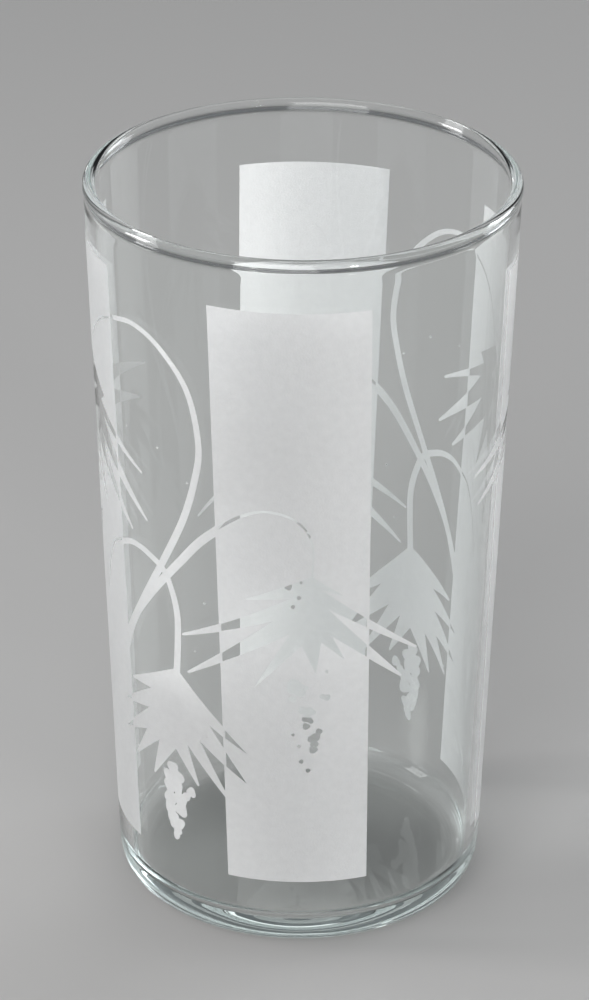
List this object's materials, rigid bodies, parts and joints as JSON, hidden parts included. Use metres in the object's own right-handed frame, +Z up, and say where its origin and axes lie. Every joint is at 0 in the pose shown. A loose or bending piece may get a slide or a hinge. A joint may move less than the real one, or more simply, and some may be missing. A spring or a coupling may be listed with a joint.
{
  "type": "pint glass",
  "caption": "Straight-sided, gently tapered clear drinking glass with a rounded bead rim, a soft heel and satin-white printed panels and hanging flowers.",
  "frame": {"origin": "centre of the circle the glass rests on, at the height of the resting ring", "axes": "+Z up the glass's axis towards the rim; -Y is the side with the front panel facing the viewer"},
  "size_m": [0.07, 0.07, 0.125],
  "materials": {
    "clear_glass": "clear, polished, faint aqua tint where thick",
    "frosted_print": "satin white fired print, slightly translucent"
  },
  "bodies": {
    "root": {"glass_body": "clear_glass", "print_a_flower_spray": "frosted_print", "print_a_front_panel": "frosted_print", "print_a_front_petal_left_lower": "frosted_print", "print_a_front_petal_left_upper": "frosted_print", "print_a_front_petal_right_lower": "frosted_print", "print_a_front_petal_right_upper": "frosted_print", "print_a_side_panel": "frosted_print", "print_a_side_petal_far_lower": "frosted_print", "print_a_side_petal_far_upper": "frosted_print", "print_a_side_petal_near_lower": "frosted_print", "print_a_side_petal_near_middle": "frosted_print", "print_a_side_petal_near_upper": "frosted_print", "print_a_stamens": "frosted_print", "print_b_flower_spray": "frosted_print", "print_b_front_panel": "frosted_print", "print_b_front_petal_left_lower": "frosted_print", "print_b_front_petal_left_upper": "frosted_print", "print_b_front_petal_right_lower": "frosted_print", "print_b_front_petal_right_upper": "frosted_print", "print_b_side_panel": "frosted_print", "print_b_side_petal_far_lower": "frosted_print", "print_b_side_petal_far_upper": "frosted_print", "print_b_side_petal_near_lower": "frosted_print", "print_b_side_petal_near_middle": "frosted_print", "print_b_side_petal_near_upper": "frosted_print", "print_b_stamens": "frosted_print"}
  },
  "joints": []
}
